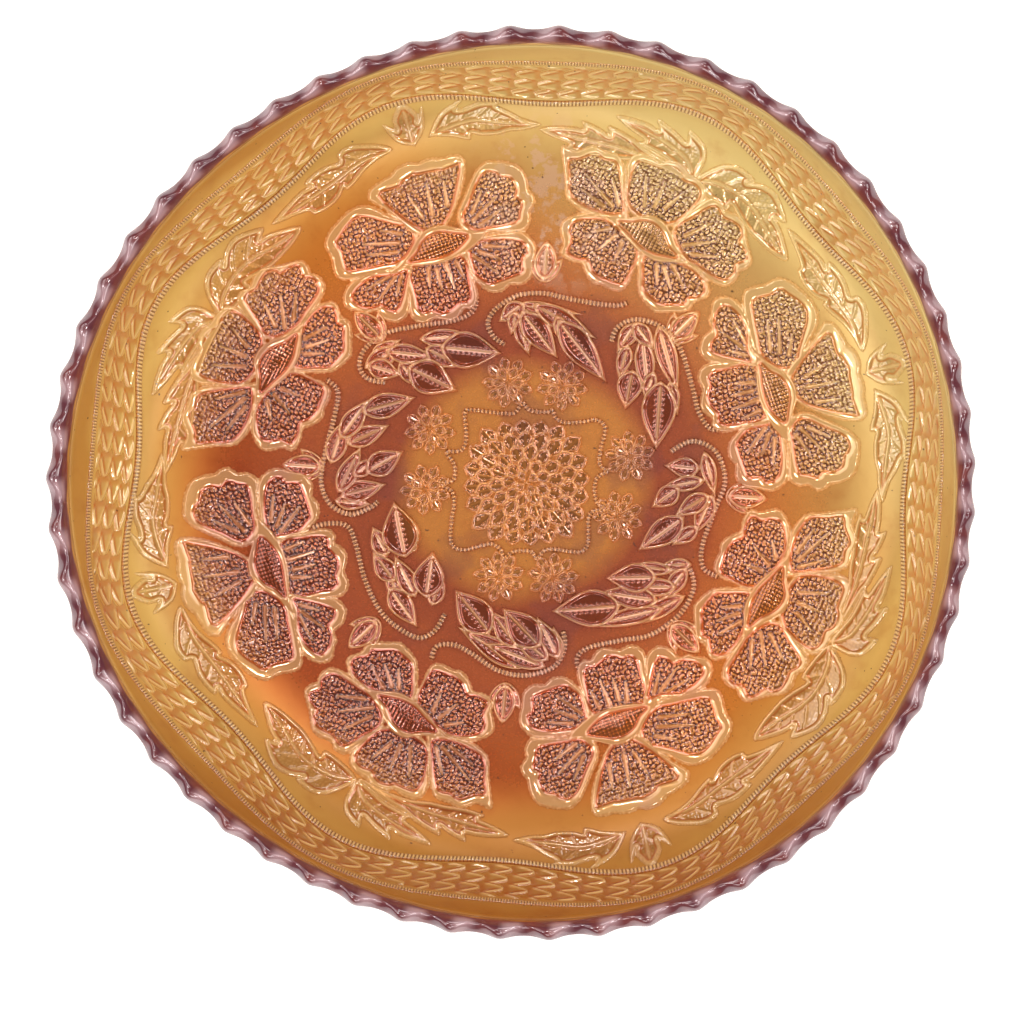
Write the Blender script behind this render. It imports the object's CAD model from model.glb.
"""A pressed carnival glass bowl: body, foot, scalloped lip and moulded relief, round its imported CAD.

The relief is drawn in millimetres on the flattened inside of the bowl and then laid on its face.
"""

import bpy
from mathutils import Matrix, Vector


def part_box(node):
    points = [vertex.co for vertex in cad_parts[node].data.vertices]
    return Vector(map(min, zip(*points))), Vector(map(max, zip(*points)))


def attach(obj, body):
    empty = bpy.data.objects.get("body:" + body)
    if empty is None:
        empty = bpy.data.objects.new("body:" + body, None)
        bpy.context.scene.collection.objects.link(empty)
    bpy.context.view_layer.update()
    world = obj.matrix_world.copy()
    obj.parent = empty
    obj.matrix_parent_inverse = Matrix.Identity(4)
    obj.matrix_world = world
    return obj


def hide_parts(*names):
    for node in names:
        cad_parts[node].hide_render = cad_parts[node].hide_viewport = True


bl_info = {
    "name": "Carnival Glass Bowl",
    "version": (1, 0, 0),
    "blender": (4, 5, 0),
    "location": "View3D > Sidebar > Glass Bowl",
    "description": "Builds a pressed glass bowl with moulded flowers, leaves and a scaled band",
    "category": "Add Mesh",
}

from math import atan, atan2, ceil, cos, hypot, pi, radians, sin, sqrt, tan

import bmesh
import bpy
import numpy as np
from bpy.props import FloatProperty, FloatVectorProperty, IntProperty, PointerProperty
from mathutils import Vector

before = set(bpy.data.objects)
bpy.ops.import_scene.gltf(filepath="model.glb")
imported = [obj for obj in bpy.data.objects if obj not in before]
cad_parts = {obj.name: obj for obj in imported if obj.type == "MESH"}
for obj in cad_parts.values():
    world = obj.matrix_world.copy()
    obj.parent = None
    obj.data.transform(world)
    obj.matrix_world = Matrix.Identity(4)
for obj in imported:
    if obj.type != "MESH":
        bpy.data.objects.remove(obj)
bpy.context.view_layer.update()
FOOT_LOW, FOOT_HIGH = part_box("base_collar")

MM = 0.001

# ---- Tables of the moulded pattern, in millimetres --------------------------------------------
# A flower is drawn standing up: x to the right along the ring, y out from the middle of the bowl.

FLOWER_AT = ((19.5, -0.5), (63.2, 1.5), (110, -4.1), (154.2, 2.1), (198, 0), (243, -1.5), (290.8, -3), (334.7, 0))

SIX_PETALS = (
    ((-5.5, 81, -9.5, 88.5, -13, 93, -14, 94.5, -12.8, 96.8, -9, 98, -6, 98.6, -3.5, 100, 0, 100.1, 2.5, 99.2,
      6, 99.2, 9, 98.2, 12, 97.8, 14.2, 97, 14.8, 95, 13.5, 91.5, 11, 87.5, 8, 84, 5.5, 81.5, 0, 78),
     (-4.5, 83, -11, 94.3, -5, 95, -3.5, 96, 0, 96.8, 2, 96.3, 7, 95.5, 8.5, 95, 12, 95, 13, 94, 6, 83, 0, 80)),
    ((8, 81.5, 12, 86, 15, 89.3, 17.5, 91.5, 20.5, 92.7, 24, 91.5, 27, 89.8, 29, 87.5, 29.3, 84, 28.8, 81,
      29.5, 79.5, 29.2, 77, 27, 75.3, 26.5, 73, 24, 70.9, 20, 72, 15, 73.8, 12, 74.5, 8, 77),
     (9, 80, 13, 84.5, 17, 89, 20, 90, 22, 89, 23, 87.5, 25.5, 86, 26, 83, 25, 80.5, 26, 78.5, 24.5, 76,
      22.5, 73.8, 15, 75, 11, 76)),
    ((-5.5, 83, -8, 86, -11, 88.5, -13, 91, -16, 93, -20, 93.2, -24, 91.5, -28, 89, -30, 86, -29.5, 82,
      -30, 79, -29.5, 76, -26, 74.5, -20, 73.8, -15, 73.3, -9, 75, -5, 79),
     (-6, 82.5, -10, 85.5, -13.5, 88, -16, 89.7, -19, 90.7, -22, 89.7, -25, 87.5, -27, 85.8, -26.5, 83,
      -26.5, 77.5, -22, 76.2, -17, 75.5, -12, 75, -7, 78)),
    ((-14, 72.8, -18, 73.8, -24, 74.3, -28, 73, -30.3, 70, -30, 67, -27, 65.3, -25.5, 64, -23, 64.2,
      -21.5, 61, -18.5, 59, -15.5, 59.8, -13.7, 62, -12.5, 65.5, -11, 69, -9, 73),
     (-14.5, 71.5, -20, 73, -25, 72, -28, 69.5, -26.5, 66.5, -23.5, 65, -21, 65, -19.5, 63, -17.5, 62,
      -15, 64.5, -12.5, 68.5, -11, 71.5)),
    ((-11.5, 69, -13, 64, -14, 60, -13.3, 57.3, -11, 55.9, -8, 56.2, -6, 55, -4, 54, -1.5, 54.5, 0.3, 56,
      2.5, 55.3, 4.5, 56.5, 5.5, 60, 5.5, 69, 4, 73, -8, 73),
     (-10.5, 69.5, -11, 64, -11.5, 61, -10.5, 58.8, -8, 58.5, -6, 57, -3.5, 56.8, 0, 58, 2, 57.5, 3.5, 59,
      4.5, 64, 4.5, 70, -8, 72)),
    ((6, 69, 6, 64, 7.5, 60, 9.5, 57.7, 12.5, 57, 15, 58, 18, 56.8, 21, 57.8, 22.3, 59.5, 23.5, 62, 25, 64.5,
      24.8, 68, 22.5, 70.8, 17, 72.3, 11, 73.2, 5, 73),
     (7.5, 69.5, 7, 64.5, 8.5, 61.5, 10, 60, 13.5, 59.8, 17, 59.8, 19.5, 60.3, 20.5, 63.5, 22.5, 64.5,
      22.5, 67.5, 19, 70, 12, 72, 8, 71.5)),
)
SIX_EYE = (
    (-15, 72.8, -10.5, 74.8, -7, 77.8, -3.5, 80.3, 0, 81, 3.5, 80.2, 7, 78, 10.5, 75.3, 14, 74, 9, 71.3,
     4, 70.2, -1, 70.2, -6, 71.2, -10, 72.5),
    (-9.5, 73.7, -6.5, 75.5, -4, 77.8, -1, 78.7, 2, 78.5, 5, 77, 8.5, 75, 6, 73, 2, 71.9, -2, 72, -6, 72.8),
)
SIX_RIBS = (
    -1.7, 84.5, -3.2, 91, 1.2, 84, 2.7, 93, 6, 85, 7.5, 92, 11.5, 78.5, 20, 82.5, 13, 76.5, 19.5, 78.5,
    12, 80.5, 16.5, 85.5, -9, 82, -14, 84.8, -10.5, 79.8, -20, 82.8, -12, 77.5, -20, 79.5, -14, 72, -23, 70.5,
    -14.5, 71, -21, 66.5, -13, 70.5, -16, 66, -5, 70, -6.5, 65, -3, 69, -3.5, 63, 0, 69.5, 0, 62, 3, 69,
    3.5, 64, 8, 69, 13, 62, 10, 69.5, 15, 65.5, 12, 70.5, 18, 68,
)
FIVE_PETALS = (
    ((-9.5, 81, -12.5, 87.5, -14.3, 90.5, -14.2, 93.5, -12.5, 95.3, -9, 95.8, -6, 95.5, -4.5, 97, -1, 97.5,
      2, 96.3, 5, 96, 8, 94.5, 9, 92, 8.5, 89.5, 7, 85.5, 5.5, 82, 0, 79, -6, 79),
     (-9.8, 82, -12, 88, -12.3, 91.5, -11, 93.5, -6, 94, -4.5, 95, -2, 95.6, 0, 95, 1.7, 93.7, 5, 94,
      7.3, 92.7, 7.5, 90, 6, 85, 4, 82, 0, 80, -6, 80)),
    ((5.3, 82, 7, 86, 9.5, 91, 11, 92.8, 13.5, 92.8, 16, 91.2, 19, 91.5, 22, 90.5, 24, 87.5, 26, 85, 28.5, 82,
      28, 79.5, 26.5, 78, 26.8, 76, 25.5, 73, 22, 72.2, 17, 73, 12, 74, 6, 77),
     (6, 81.5, 8.5, 85.5, 11.5, 90.3, 13.5, 91, 16, 89.5, 19, 89.5, 21.5, 89, 23, 87.3, 23, 85.3, 26, 83.5,
      27, 81.8, 25, 79.2, 25.7, 77, 24.5, 74.5, 22, 73.7, 16, 74.5, 12, 75, 7, 78)),
    ((-10, 80.5, -13, 86, -15.5, 90, -18, 92, -22, 91.5, -25.5, 91.3, -29, 88, -33, 87.5, -31, 84, -29, 81,
      -27, 77.5, -25, 74.8, -20, 73.7, -14, 75, -8, 77),
     (-10.5, 80, -13.5, 85, -16, 88.5, -18, 90, -21, 89.3, -24, 89.5, -27, 86.5, -29.5, 84.7, -27.5, 81,
      -25, 76.5, -20, 75.3, -14, 76, -10, 78)),
    ((-13.5, 74.5, -17, 74, -20.5, 72.3, -22.5, 70, -23.5, 67.5, -22, 65, -20.5, 63, -20, 60.3, -16.5, 59.8,
      -13.5, 60.5, -11, 58.3, -8, 57, -5.5, 57.8, -3, 57.6, -0.5, 58.5, 0.3, 61, 0, 65, -0.3, 69.5, -4, 73),
     (-12.5, 74, -18, 72, -20.7, 69.5, -20.5, 67, -18.8, 64.5, -18.5, 61.5, -15, 61.2, -12.5, 62, -10, 60,
      -7.5, 59.3, -4, 59.5, -1, 60.3, -0.5, 63, -0.8, 69, -4, 72)),
    ((0.5, 70, 1.5, 66, 4, 61, 6, 59.3, 9, 58, 11, 57.6, 14, 59, 17, 60.5, 19, 62.3, 19.5, 65, 21.5, 67,
      22, 69, 19.5, 71.5, 16, 73, 11, 73.5, 4, 73),
     (1.5, 69.5, 4, 64, 5.5, 61.5, 9, 60.3, 11.5, 60.2, 14.5, 61.7, 17, 63, 17.3, 65, 19.5, 66.5, 20.5, 68.3,
      19, 70.8, 15, 72.3, 10, 72.5, 4, 72)),
)
FIVE_EYE = (
    (-14, 75.3, -9, 77.2, -5, 79.3, -2.5, 81, 1, 81.2, 4, 80, 7, 77.5, 10, 74.8, 13, 73.5, 9, 71.8, 5, 70.2,
     0, 70.2, -5, 71.8, -9, 73.8, -12, 74.8),
    (-9.5, 75.2, -6, 77, -3, 78.9, 0, 79.2, 3, 78, 6, 75.5, 9.5, 73.7, 6, 72.5, 3, 71.8, -1, 72, -5, 73.5),
)
FIVE_RIBS = (
    -5, 82.5, -8.5, 90.5, -2.3, 83.5, -2.7, 91, 0.5, 84.5, 3, 90, 9, 80, 14, 86.5, 9.8, 77.5, 17.3, 82.5,
    13, 76.3, 20, 79, -11.5, 79.5, -16.5, 85.5, -13, 78.5, -24, 83.3, -15, 77.3, -23, 79, -11, 72.5, -15, 69.5,
    -8.5, 71.5, -11, 66, -6, 70.5, -5.7, 65.5, 5.5, 69, 8, 64.5, 7.5, 69.5, 12, 65, 9.5, 71, 15, 67,
)

# Sprays outside the flowers: each leaf is its outline and its midrib
SPRAY_WITH_BUD = (
    ((3, 100.5, -1, 103, -2.8, 108.8, 0.2, 106.2, 0.3, 109.3, 4.3, 112.8, 7.3, 108.6, 6.6, 106.4, 9.3, 109.8,
      7.6, 104, 3.8, 100.5),
     (2.9, 100.5, 3.6, 106, 4.3, 112.8)),
    ((-3, 101.4, -5.3, 103.7, -9, 105.3, -13, 106.5, -16, 106.3, -18, 105, -18.3, 103.2, -22, 103.3,
      -26, 102.5, -29.5, 100.7, -28, 99.5, -31, 99, -36, 96.5, -42, 92.7, -35, 93, -31, 92.8, -30, 91.5,
      -26, 91.8, -22, 93.5, -19.5, 96, -19, 95, -16, 96.3, -12, 98.7, -8, 100.2),
     (-3.5, 101.3, -12, 101.2, -20, 98.8, -28, 96.5, -41, 93)),
    ((8.2, 101.3, 11, 104.5, 14.5, 106.8, 20.7, 107.8, 18, 106, 21, 105.3, 25, 105.3, 31.5, 103, 29, 102.8,
      32, 99.5, 34.5, 96.5, 38.7, 93, 34, 93.3, 30, 94.5, 26.5, 94.8, 22, 96.3, 19.5, 97.8, 18.5, 96.3,
      14, 99, 9, 101),
     (9, 101.5, 16, 101.8, 22, 101, 28, 98, 38, 93.3)),
)
SPRAY_OF_LEAVES = (
    ((3, 96.5, -5, 97.8, -12, 98.5, -16, 99.5, -23.7, 99.8, -22.5, 97.5, -26, 98, -31, 97.8, -29.8, 96,
      -33, 95, -38, 92.8, -41, 90.5, -36, 90.2, -31.5, 90.5, -32.3, 88.7, -27, 89.5, -21, 91.5, -17, 92.5,
      -12, 94.5, -5, 95.5, 3, 95.5),
     (3, 96, -8, 96.5, -18, 95.5, -28, 93.5, -40, 90.8)),
    ((4, 96.5, 4.7, 100, 4.5, 103.5, 2.5, 106.5, -2.7, 108.3, -2, 105, -6, 106.2, -12, 107.3, -10.5, 104.7,
      -15, 105, -23, 103.3, -18, 101.5, -13, 100.5, -13.8, 99, -9, 98.8, -5, 98.4, -1, 97.3),
     (3.5, 97, 0, 100.5, -5, 102, -12, 103, -22, 103.3)),
    ((4.5, 97, 7, 101, 10, 104, 14, 105.3, 19.3, 104, 18, 102.5, 22, 103.8, 27, 103, 32.5, 97.5, 29, 97,
      32, 95, 37.5, 88.5, 33, 88, 27, 89.5, 24, 90.5, 20, 92.8, 16.5, 95, 16, 93, 11, 93.7, 6, 95.3),
     (4.5, 96.5, 10, 98.5, 17, 98.5, 23, 96.5, 30, 92, 36.5, 88.5)),
)

# Seen from above, x to the right and y up: the beaded stems, clockwise from the first flower's side
STEMS = (
    (57, 15.5, 52, 15, 48.5, 20, 47, 26, 44, 36, 41, 41, 36, 44.5, 30, 45.5, 25.5, 43, 24, 39),
    (29, 50.5, 26, 49.5, 20, 50, 12, 51.5, 5, 53, -2, 52.5, -8, 49, -10.5, 45, -9, 41, -5.5, 38.5),
    (-13.5, 52, -15, 48, -20, 45.5, -30, 44, -39, 42, -45, 37.5, -46.5, 32.5, -44, 29, -39, 28),
    (-56, 29, -52.5, 25.5, -53.5, 18, -56, 8, -57, 0, -54.5, -6, -49, -8.8, -43.5, -7, -41, -5),
    (-60, -13, -56, -11.5, -50, -12, -47.5, -17, -45, -27, -41, -35.5, -36, -40.5, -30, -43.5, -25.5, -41.5,
     -22.5, -36.5),
    (-26.5, -50, -25, -46, -20, -45.5, -15, -48, -8, -52.5, 0, -54, 8, -51.5, 11, -46, 10.5, -41),
    (15.5, -53.5, 14.5, -49, 18, -46, 27, -44, 35, -42.5, 43, -37, 47, -30, 46.5, -25, 44.5, -22.5),
    (54.5, -26.5, 50, -24, 49.5, -18, 53, -8, 56, 0, 54.5, 7, 51, 10.5, 46, 11.5, 40.5, 8.5),
)
# The leaves each stem curls over: every lobe is its joint, its tip and half its width, lowest first
LEAVES = (
    (30.1, 43.2, 25.4, 35.9, 1.7, 38.1, 40.7, 43, 23.8, 2, 33, 37.7, 34.7, 22.6, 1.9, 28.4, 36.9, 25.9, 28.5,
     1.5, 31.3, 43.5, 36.2, 36.9, 1.7, 40.8, 26.8, 42.8, 18.4, 1.3, 35.6, 29.7, 33, 22.6, 1.3, 29.7, 29.7, 28,
     20.4, 2.4, 37.7, 25.1, 36.6, 8.9, 3.2),
    (0.2, 49.5, 16.2, 47, 1.3, -1.5, 49.4, -7.8, 44.9, 1.9, -2.8, 47, -4, 41.1, 1.3, -1.5, 44.1, 1.2, 35.2,
     1.6, 0.6, 45.7, 9.3, 34.5, 2.5, 5.2, 48.3, 20.2, 40.1, 2, 9.4, 45.3, 12.4, 36.9, 1.5, 11.5, 42.4, 22.9,
     27.8, 2.7),
    (-42, 36.5, -34.4, 40.4, 1.3, -43.2, 33.1, -33.5, 38.8, 2, -42.8, 32.5, -34.4, 30, 2, -34.4, 32.7, -29.1,
     26.3, 1.7, -36.9, 36.5, -25.1, 35.2, 1.9, -27.2, 40.4, -14, 41.5, 1.7, -26.4, 36.9, -17.4, 32.2, 2,
     -30.6, 31.2, -19, 25.6, 3.2, -20.9, 37.6, -6.4, 36.2, 3.4),
    (-51.6, -5.2, -42.6, -6.1, 1.5, -53.7, 7.4, -50.4, 18.4, 2, -49.5, -3.1, -38.6, -0.3, 2, -51.2, -0.6,
     -45.7, 10.6, 1.9, -47, 2.8, -40.1, 7.2, 1.5, -47.9, 11.6, -37.7, 16.3, 1.9, -50.4, 14.2, -43.5, 23.8, 2,
     -42.8, 3.9, -33.9, 8.9, 2.4, -43.2, 20.5, -30.5, 24, 2.4),
    (-34, -33.4, -40.1, -23.6, 1.7, -36.9, -31.3, -30.2, -40.8, 2.2, -37.7, -26.3, -43, -19.1, 2, -39.3,
     -19.1, -43, -12, 1.9, -31.8, -30.1, -36.9, -20, 1.9, -25.8, -33, -23, -25.4, 1.7, -33.1, -18.9, -31.5,
     -14.3, 1.7, -27.6, -30.1, -25.9, -19.1, 2.9, -34.2, -18.3, -36.9, -5, 3.4),
    (9, -48.2, 7.8, -39.8, 1.5, -3.2, -50, -19.4, -40.2, 2.2, 2.7, -50.5, -12.5, -44.7, 1.9, 8.2, -47.2, 3.1,
     -37.2, 1.9, 4.8, -48.4, -4, -41.6, 1.9, -3.6, -44.4, -10.1, -35.4, 2, 2.3, -44.1, -6.6, -34.9, 3, -11.6,
     -40.2, -19.9, -29.8, 3.2),
    (45.2, -22.9, 37.2, -23.1, 1.3, 44.1, -25.4, 38.1, -33.4, 1.7, 41.9, -33, 27.1, -40.6, 1.7, 35.1, -36,
     16.2, -40.4, 1.7, 39.3, -24.4, 28.8, -22.7, 1.3, 40.2, -29.2, 29.2, -29.2, 1.7, 34.3, -32.6, 20.2, -30.5,
     2.2, 34.3, -26.5, 22.1, -26.7, 2.7, 23.3, -34.7, 7.1, -36, 3.4),
    (50.7, 6.6, 53.4, -4.4, 1.5, 51.6, -5.2, 47.3, -14.9, 1.9, 47.3, 4, 38.5, 4.9, 1.9, 48.2, 0.3, 37.2, -1.6,
     1.5, 49.9, -4.4, 41.6, -9.4, 1.9, 47.3, -13.2, 40.8, -17.7, 1.5, 41.9, -2.3, 35.1, -7.1, 2, 42.3, -11.3,
     31.2, -19.2, 2.5),
)

MEDALLION_LINE = (
    -17, 19.5, -15, 20.3, -5, 19.3, -2.5, 20, -0.8, 22.3, 1, 20.4, 3.5, 19.8, 6.5, 19.8, 7.5, 20.3, 8.5, 18.2,
    11, 16.8, 16, 17, 19.5, 17.6, 21.6, 16.5, 22.3, 14.5, 21, 9, 20.7, 6, 21.5, 4.2, 23, 3.3, 20.6, 1.8,
    19.5, 0, 19.4, -3, 20.2, -5.7, 22.3, -7.5, 19.4, -7.8, 17.8, -9.5, 17.6, -14, 17.4, -17.5, 15.5, -19.3,
    12, -19.2, 8, -18.6, 5, -19.2, 3.3, -21.3, 1.8, -19.4, 0, -19.1, -3.5, -19.3, -6, -21.3, -7, -18.6,
    -9.5, -17.2, -13, -17.8, -17, -18.8, -20, -18, -21, -15.5, -20.6, -10, -20, -6, -20.5, -2.6, -23.3, -0.5,
    -20.4, 0.6, -19.7, 3, -20.2, 5.6, -22, 8.5, -18.6, 8.8, -17, 10.5, -16.6, 14,
)
BLOSSOM_AT = (-4.9, 28.1, 10.3, 27.2, 29.2, 7.4, 25.9, -9.4, 7.8, -26.7, -7.4, -26.3, -28, -1.9, -26.8, 15)


# ---- Settings a user would change -------------------------------------------------------------


def length(label, text, default):
    return FloatProperty(name=label, description=text, default=default, unit="LENGTH", precision=5)


def colour(label, text, default):
    return FloatVectorProperty(
        name=label, description=text, default=default, size=3, min=0, max=1, subtype="COLOR"
    )


class BowlSizes(bpy.types.PropertyGroup):
    rim_radius: length("Rim radius", "From the middle to the mean edge of the lip", 0.1262)
    depth: length("Depth", "From the inner floor to the edge of the lip", 0.0374)
    floor_radius: length("Floor radius", "Radius of the flat part of the inner floor", 0.036)
    floor_thickness: length("Floor thickness", "Thickness of the glass in the middle", 0.005)
    wall_thickness: length("Wall thickness", "Thickness of the glass under the lip", 0.004)
    foot_outer: length("Foot outer radius", "Outside of the ring foot", FOOT_HIGH.x)
    foot_inner: length("Foot inner radius", "Inside of the ring foot", 0.0385)
    foot_height: length("Foot height", "Height of the ring foot", FOOT_HIGH.z)
    lip_length: length("Lip length", "Width of the lip measured over its face", 0.006)
    lip_thickness: length("Lip thickness", "Thickness of the lip near its edge", 0.0036)
    lip_flare: FloatProperty(
        name="Lip flare", description="How far the lip bends outwards", default=radians(31.5), unit="ROTATION"
    )
    scallops: IntProperty(name="Scallops", description="Number of scallops round the lip", default=57)
    scallop_depth: length("Scallop depth", "Half the difference between crest and valley", 0.0016)
    ovality: FloatProperty(name="Ovality", description="How far the rim is drawn out one way", default=0.009)
    three_cornered: FloatProperty(
        name="Three corners", description="How far the rim leans to a triangle", default=0.013
    )


class ReliefSizes(bpy.types.PropertyGroup):
    crest: length("Crest", "Height of a petal's smooth margin", 0.00105)
    panel: length("Panel", "Height of a petal's stippled panel", 0.00042)
    stipple: length("Stipple", "Height of the stippling on a petal", 0.00038)
    leaf: length("Leaf", "Height of a leaf's raised edge", 0.0008)
    bead: length("Bead", "Height of the beads on stems and lines", 0.0009)
    scale: length("Scale", "Height of the scales in the band", 0.0005)


class GlassColours(bpy.types.PropertyGroup):
    centre: colour("Centre", "Film in the middle of the floor", (0.56, 0.19, 0.030))
    ring: colour("Ring", "Film over the foot", (0.34, 0.060, 0.013))
    flowers: colour("Flowers", "Film between the flowers", (0.60, 0.185, 0.024))
    side: colour("Side", "Film up the side", (0.53, 0.27, 0.055))
    pale: colour("Pale", "Film where it runs thin", (0.70, 0.52, 0.19))
    warm: colour("Warm", "Film where it lies thick", (0.36, 0.115, 0.012))
    plum: colour("Plum", "The lip", (0.115, 0.020, 0.029))
    bloom: colour("Bloom", "Film on the tops of the relief", (0.95, 0.62, 0.27))
    roughness: FloatProperty(name="Roughness", description="Roughness of the film", default=0.27, min=0, max=1)


class StudioSettings(bpy.types.PropertyGroup):
    sky: FloatProperty(name="Fill light", description="Strength of the even light all round", default=0.14)
    key: FloatProperty(name="Key light", description="Power of the large soft light", default=3.5, unit="POWER")
    spark: FloatProperty(name="Spark light", description="Power of each small light", default=2.1, unit="POWER")
    ring: FloatProperty(name="Low ring light", description="Power of each light of the low ring", default=1.4, unit="POWER")
    view_width: length("View width", "Width of the picture at the bowl", 0.2863)
    distance: length("Distance", "From the camera to the bowl", 10.0)
    tilt: FloatProperty(
        name="Tilt", description="How far the camera leans from straight above", default=radians(4), unit="ROTATION"
    )


def sizes():
    return bpy.context.scene.bowl_sizes


def relief():
    return bpy.context.scene.bowl_relief


# ---- The shape that every piece follows, in metres --------------------------------------------


def floor_level():
    return sizes().foot_height + 0.00035 + sizes().floor_thickness


def wall_top():
    return sizes().rim_radius - 0.0035


def wall(radius):
    """Height above the inner floor, and slope, of the inner face at these distances from the axis."""
    s = sizes()
    rise = s.depth - s.lip_length * 0.827
    span = wall_top() - s.floor_radius
    x = np.maximum(0, (radius - s.floor_radius) / span)
    height = rise * (x**2 / 8 + x**9 * 7 / 8)
    return height, rise * (x / 4 + 9 * x**8 * 7 / 8) / span


def out_of_round(radius, angle):
    """Points at this radius and angle of a true round, on the real, slightly uneven one."""
    s = sizes()
    share = (radius / s.rim_radius) ** 2
    radius = radius * (1 + share * (s.ovality * np.cos(2 * angle) - s.three_cornered * np.cos(3 * angle)))
    return radius * np.cos(angle), radius * np.sin(angle)


def on_wall(x, y, lift):
    """Rows of x, y, z this far in from the inner face over flat positions x and y."""
    radius = np.hypot(x, y)
    height, slope = wall(radius)
    share = lift / np.sqrt(1 + slope**2)
    px, py = out_of_round(radius - share * slope, np.arctan2(y, x))
    return np.stack([px, py, floor_level() + height + share], axis=1)


# ---- Mesh helpers -----------------------------------------------------------------------------


def read_points(mesh):
    points = np.empty(len(mesh.vertices) * 3)
    mesh.vertices.foreach_get("co", points)
    return points.reshape(-1, 3)


def write_points(mesh, points):
    mesh.vertices.foreach_set("co", points.ravel())
    mesh.update()


def keep_ring(mesh, radius):
    """Stores how far from the axis each point was drawn, in metres, for the glass to be coloured by."""
    mesh.attributes.new("ring", "FLOAT", "POINT").data.foreach_set("value", np.asarray(radius, float))


def into_scene(name, mesh, material, slot, *nodes):
    """A finished piece: it rides on the bowl and stands for its CAD nodes."""
    piece = bpy.data.objects.new(name, mesh)
    mesh.name = name
    bpy.context.scene.collection.objects.link(piece)
    mesh.materials.clear()
    mesh.materials.append(material)
    mesh.polygons.foreach_set("use_smooth", np.ones(len(mesh.polygons), bool))
    mesh.update()
    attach(piece, "root")
    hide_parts(*nodes)
    return piece


def turned(outline, steps, closed=False):
    """A mesh spun from an outline of (radius, height) round the axis, and its vertices' positions."""
    bm = bmesh.new()
    verts = [bm.verts.new((r, 0, z)) for r, z in outline]
    edges = [bm.edges.new(pair) for pair in zip(verts, verts[1:] + verts[:1] if closed else verts[1:])]
    bmesh.ops.spin(
        bm, geom=verts + edges, axis=(0, 0, 1), cent=(0, 0, 0), angle=2 * pi, steps=steps, use_merge=True
    )
    bmesh.ops.remove_doubles(bm, verts=bm.verts, dist=1e-7)
    bmesh.ops.recalc_face_normals(bm, faces=bm.faces)
    mesh = bpy.data.meshes.new("turned")
    bm.to_mesh(mesh)
    bm.free()
    return mesh


def smooth(t):
    t = np.clip(t, 0, 1)
    return t * t * (3 - 2 * t)


def pairs(numbers):
    return np.array(numbers, float).reshape(-1, 2)


def curve(points, steps, closed=False):
    """A smooth curve through these points."""
    points = np.asarray(points, float)
    if closed:
        ends = np.vstack([points[-1:], points, points[:2]])
    else:
        ends = np.vstack([points[:1], points, points[-1:]])
    path = []
    t = np.linspace(0, 1, steps, endpoint=False)[:, None]
    for p0, p1, p2, p3 in zip(ends, ends[1:], ends[2:], ends[3:]):
        pull = (p2 - p0) * t + (2 * p0 - 5 * p1 + 4 * p2 - p3) * t**2
        path.append(p1 + (pull + (3 * p1 - p0 - 3 * p2 + p3) * t**3) / 2)
    if not closed:
        path.append(points[-1:])
    return np.vstack(path)


def depth_inside(x, y, outline):
    """How far each point lies in from a closed outline, negative outside it."""
    nearest = np.full(x.shape, 1e9)
    inside = np.zeros(x.shape, bool)
    for (ax, ay), (bx, by) in zip(outline, np.roll(outline, -1, axis=0)):
        dx, dy = bx - ax, by - ay
        t = np.clip(((x - ax) * dx + (y - ay) * dy) / (dx * dx + dy * dy + 1e-12), 0, 1)
        nearest = np.minimum(nearest, (x - ax - t * dx) ** 2 + (y - ay - t * dy) ** 2)
        if ay != by:
            inside ^= ((ay > y) != (by > y)) & (x < dx * (y - ay) / dy + ax)
    return np.where(inside, 1, -1) * np.sqrt(nearest)


def along_path(x, y, path):
    """Distance of each point from a path, signed by side, and how far along the path it is nearest."""
    nearest = np.full(x.shape, 1e9)
    along = np.zeros(x.shape)
    side = np.ones(x.shape)
    done = 0.0
    for (ax, ay), (bx, by) in zip(path, path[1:]):
        dx, dy = bx - ax, by - ay
        run = hypot(dx, dy)
        t = np.clip(((x - ax) * dx + (y - ay) * dy) / (run * run + 1e-12), 0, 1)
        gap = (x - ax - t * dx) ** 2 + (y - ay - t * dy) ** 2
        closer = gap < nearest
        nearest = np.where(closer, gap, nearest)
        along = np.where(closer, done + t * run, along)
        side = np.where(closer, np.sign((y - ay) * dx - (x - ax) * dy), side)
        done += run
    return np.sqrt(nearest) * side, along, done


SUNK = -0.35
CUT = -0.16


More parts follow.
